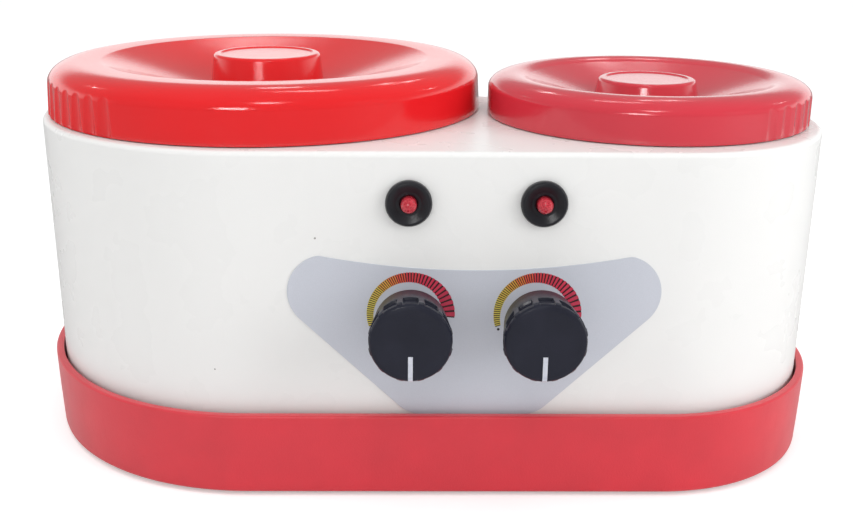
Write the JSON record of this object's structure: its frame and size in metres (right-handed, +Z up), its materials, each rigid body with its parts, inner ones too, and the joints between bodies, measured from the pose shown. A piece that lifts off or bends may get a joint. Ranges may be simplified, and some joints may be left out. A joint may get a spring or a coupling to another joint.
{
  "type": "double wax warmer",
  "caption": "White two-well body in a red tray with two lift-out wax pots, red dished lids, two turning heat dials and pilot lamps on a flat front.",
  "frame": {"origin": "centre of the footprint's bounding box, at the table under the feet", "axes": "+X along the length towards the small pot, -Y towards the front with the dials, +Z up"},
  "size_m": [0.3198, 0.2285, 0.151],
  "materials": {
    "white_plastic": "glossy moulded",
    "red_tray_plastic": "satin moulded",
    "red_lid_plastic": "glossy moulded",
    "pink_red_lid_plastic": "glossy moulded",
    "black_rubber": "matte",
    "zinc_screw": "zinc plated",
    "silver_film": "satin printed film",
    "black_plastic": "glossy moulded",
    "charcoal_plastic": "satin moulded",
    "red_lens": "translucent dome",
    "neon_glass": "clear bulb",
    "ivory_phenolic": "moulded phenolic",
    "copper": "drawn copper",
    "aluminium": "spun and brushed",
    "mica_steel": "steel-clad mica",
    "glass_felt": "needled felt",
    "white_ceramic": "glazed",
    "nylon_block": "moulded nylon",
    "brass": "turned",
    "red_sleeve": "silicone sleeve",
    "white_ink": "inlaid line",
    "steel_shaft": "turned steel"
  },
  "bodies": {
    "base": {"shell": "white_plastic", "base_tray": "red_tray_plastic", "rubber_feet": "black_rubber", "tray_screws": "zinc_screw", "control_overlay": "silver_film", "left_lamp_bezel": "black_plastic", "right_lamp_bezel": "black_plastic", "left_lamp_lens": "red_lens", "right_lamp_lens": "red_lens", "left_neon_bulb": "neon_glass", "right_neon_bulb": "neon_glass", "lamp_nuts": "zinc_screw", "left_thermostat": "ivory_phenolic", "right_thermostat": "ivory_phenolic", "panel_nuts": "zinc_screw", "left_sensor_bulb": "copper", "right_sensor_bulb": "copper", "left_heater_well": "aluminium", "right_heater_well": "aluminium", "well_screws": "zinc_screw", "left_heater_band": "mica_steel", "right_heater_band": "mica_steel", "heater_clamp_screws": "zinc_screw", "left_insulation": "glass_felt", "right_insulation": "glass_felt", "thermal_fuses": "white_ceramic", "terminal_block": "nylon_block", "terminal_screws": "brass", "cord_bushing": "black_rubber", "cord_bushing_nut": "black_plastic", "wiring": "red_sleeve"},
    "left_pot": {"left_pot": "aluminium"},
    "right_pot": {"right_pot": "aluminium"},
    "left_lid": {"left_lid": "red_lid_plastic"},
    "right_lid": {"right_lid": "pink_red_lid_plastic"},
    "left_dial": {"left_dial": "charcoal_plastic", "left_dial_pointer": "white_ink", "left_dial_shaft": "steel_shaft"},
    "right_dial": {"right_dial": "charcoal_plastic", "right_dial_pointer": "white_ink", "right_dial_shaft": "steel_shaft"}
  },
  "joints": [
    {"name": "left_pot_lift", "type": "slide", "parent": "base", "child": "left_pot", "axis": [0, 0, 1], "range_m": [0, 0.1]},
    {"name": "right_pot_lift", "type": "slide", "parent": "base", "child": "right_pot", "axis": [0, 0, 1], "range_m": [0, 0.1]},
    {"name": "left_lid_lift", "type": "slide", "parent": "left_pot", "child": "left_lid", "axis": [0, 0, 1], "range_m": [0, 0.06]},
    {"name": "right_lid_lift", "type": "slide", "parent": "right_pot", "child": "right_lid", "axis": [0, 0, 1], "range_m": [0, 0.06]},
    {"name": "left_dial_turn", "type": "hinge", "parent": "base", "child": "left_dial", "pos_m": [-0.0055, -0.0858, 0.0712], "axis": [0, 1, 0], "range_deg": [0, 280]},
    {"name": "right_dial_turn", "type": "hinge", "parent": "base", "child": "right_dial", "pos_m": [0.0397, -0.0858, 0.0712], "axis": [0, 1, 0], "range_deg": [0, 280]}
  ]
}
